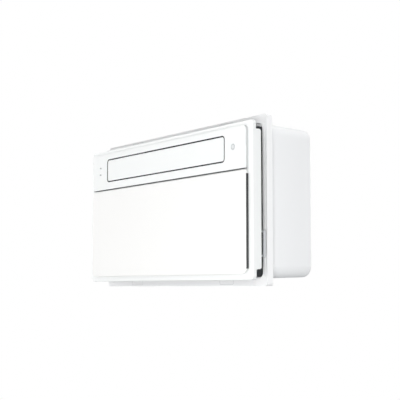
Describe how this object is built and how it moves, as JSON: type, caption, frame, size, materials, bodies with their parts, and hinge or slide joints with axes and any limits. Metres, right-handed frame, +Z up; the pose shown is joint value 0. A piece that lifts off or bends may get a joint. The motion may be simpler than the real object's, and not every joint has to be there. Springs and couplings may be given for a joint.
{
  "type": "window air conditioner",
  "caption": "Slim through-wall window air conditioner: hinged intake panel, motorised outlet flap, swing vanes, crossflow blower, slide-out filter and rear condenser fan.",
  "frame": {"origin": "middle of the mounting flange, on its back face, where it lies against the wall", "axes": "+X to the right as seen from the room, +Y into the wall, +Z up; the room side faces -Y"},
  "size_m": [0.668, 0.1968, 0.3594],
  "materials": {
    "case_white": "fine satin moulding",
    "panel_white": "smooth moulded, soft sheen",
    "intake_white": "smooth moulded, soft sheen",
    "grey_plastic": "moulded, satin",
    "charcoal_plastic": "moulded, dull",
    "black_plastic": "moulded, satin",
    "black_foam": "closed-cell foam",
    "black_rubber": "moulded",
    "white_foam": "expanded foam moulding",
    "duct_foam": "moulded, dull",
    "light_lens": "frosted lens",
    "smoked_lens": "tinted lens",
    "circuit_board": "solder mask",
    "zinc_steel": "galvanised sheet",
    "bright_steel": "ground",
    "black_enamel": "gloss enamel",
    "fin_aluminium": "thin pressed fins",
    "copper": "drawn copper tube",
    "filter_mesh": "fine moulded nylon net"
  },
  "bodies": {
    "cabinet": {"accumulator": "black_enamel", "base_pan": "zinc_steel", "bezel_screws": "zinc_steel", "blower_motor": "zinc_steel", "blower_scroll": "duct_foam", "cable_gland": "black_rubber", "case_gasket": "black_foam", "compressor": "black_enamel", "compressor_grommets": "black_rubber", "condenser_fins": "fin_aluminium", "condenser_grille": "grey_plastic", "condenser_tube": "copper", "control_board": "circuit_board", "control_box": "zinc_steel", "discharge_pipe": "copper", "display_board": "circuit_board", "drain_pan": "white_foam", "duct_end_left": "duct_foam", "duct_end_right": "duct_foam", "evaporator_fins": "fin_aluminium", "evaporator_tube": "copper", "fan_guard": "grey_plastic", "fan_shroud": "zinc_steel", "flap_motor": "zinc_steel", "front_bezel": "panel_white", "indicator_lenses": "light_lens", "indoor_housing": "white_foam", "insulation_sheet": "black_foam", "intake_grille": "charcoal_plastic", "intake_plenum": "charcoal_plastic", "liquid_pipe": "copper", "motor_bracket": "zinc_steel", "mounting_flange": "case_white", "outdoor_fan_motor": "zinc_steel", "outlet_floor": "duct_foam", "panel_hinge_brackets": "panel_white", "rear_case": "case_white", "receiver_window": "smoked_lens", "rotor_bearing": "black_rubber", "screw_covers": "case_white", "status_light": "light_lens", "suction_pipe": "copper", "swing_motor": "zinc_steel", "upper_panel": "panel_white"},
    "intake_panel": {"intake_panel": "intake_white", "panel_hinge_pins": "zinc_steel"},
    "outlet_flap": {"outlet_flap": "panel_white"},
    "vane_link": {"vane_link_bar": "charcoal_plastic"},
    "blower_rotor": {"crossflow_rotor": "black_plastic", "rotor_shafts": "bright_steel"},
    "outdoor_fan": {"axial_fan": "black_plastic", "fan_shaft": "bright_steel"},
    "air_filter": {"air_filter_frame": "grey_plastic", "filter_mesh": "filter_mesh"},
    "vane_1_body": {"vane_1": "charcoal_plastic"},
    "vane_2_body": {"vane_2": "charcoal_plastic"},
    "vane_3_body": {"vane_3": "charcoal_plastic"},
    "vane_4_body": {"vane_4": "charcoal_plastic"},
    "vane_5_body": {"vane_5": "charcoal_plastic"},
    "vane_6_body": {"vane_6": "charcoal_plastic"}
  },
  "joints": [
    {"name": "intake_panel_hinge", "type": "hinge", "parent": "cabinet", "child": "intake_panel", "pos_m": [0, -0.0633, 0.05615], "axis": [-1, 0, 0], "range_deg": [0, 80]},
    {"name": "outlet_flap_hinge", "type": "hinge", "parent": "cabinet", "child": "outlet_flap", "pos_m": [0, -0.0618, 0.09325], "axis": [1, 0, 0], "range_deg": [0, 85]},
    {"name": "blower_spin", "type": "hinge", "parent": "cabinet", "child": "blower_rotor", "pos_m": [0, 0, 0.09725], "axis": [1, 0, 0], "continuous": true},
    {"name": "outdoor_fan_spin", "type": "hinge", "parent": "cabinet", "child": "outdoor_fan", "pos_m": [0.066, 0, 0], "axis": [0, 1, 0], "continuous": true},
    {"name": "filter_slide", "type": "slide", "parent": "cabinet", "child": "air_filter", "axis": [1, 0, 0], "range_m": [0, 0.5]},
    {"name": "vane_1_swing", "type": "hinge", "parent": "cabinet", "child": "vane_1_body", "pos_m": [-0.195, -0.04, 0.106], "axis": [0, 0, 1], "range_deg": [-30, 30]},
    {"name": "vane_2_swing", "type": "hinge", "parent": "cabinet", "child": "vane_2_body", "pos_m": [-0.117, -0.04, 0.106], "axis": [0, 0, 1], "range_deg": [-30, 30]},
    {"name": "vane_3_swing", "type": "hinge", "parent": "cabinet", "child": "vane_3_body", "pos_m": [-0.039, -0.04, 0.106], "axis": [0, 0, 1], "range_deg": [-30, 30]},
    {"name": "vane_4_swing", "type": "hinge", "parent": "cabinet", "child": "vane_4_body", "pos_m": [0.039, -0.04, 0.106], "axis": [0, 0, 1], "range_deg": [-30, 30]},
    {"name": "vane_5_swing", "type": "hinge", "parent": "cabinet", "child": "vane_5_body", "pos_m": [0.117, -0.04, 0.106], "axis": [0, 0, 1], "range_deg": [-30, 30]},
    {"name": "vane_6_swing", "type": "hinge", "parent": "cabinet", "child": "vane_6_body", "pos_m": [0.195, -0.04, 0.106], "axis": [0, 0, 1], "range_deg": [-30, 30]},
    {"name": "vane_link_slide", "type": "slide", "parent": "cabinet", "child": "vane_link", "axis": [1, 0, 0], "range_m": [-0.0035, 0.0035]}
  ],
  "couplings": [
    {"joint": "vane_1_swing", "follows": "vane_link_slide", "rad_per_m": -149.5},
    {"joint": "vane_2_swing", "follows": "vane_link_slide", "rad_per_m": -149.5},
    {"joint": "vane_3_swing", "follows": "vane_link_slide", "rad_per_m": -149.5},
    {"joint": "vane_4_swing", "follows": "vane_link_slide", "rad_per_m": -149.5},
    {"joint": "vane_5_swing", "follows": "vane_link_slide", "rad_per_m": -149.5},
    {"joint": "vane_6_swing", "follows": "vane_link_slide", "rad_per_m": -149.5}
  ]
}
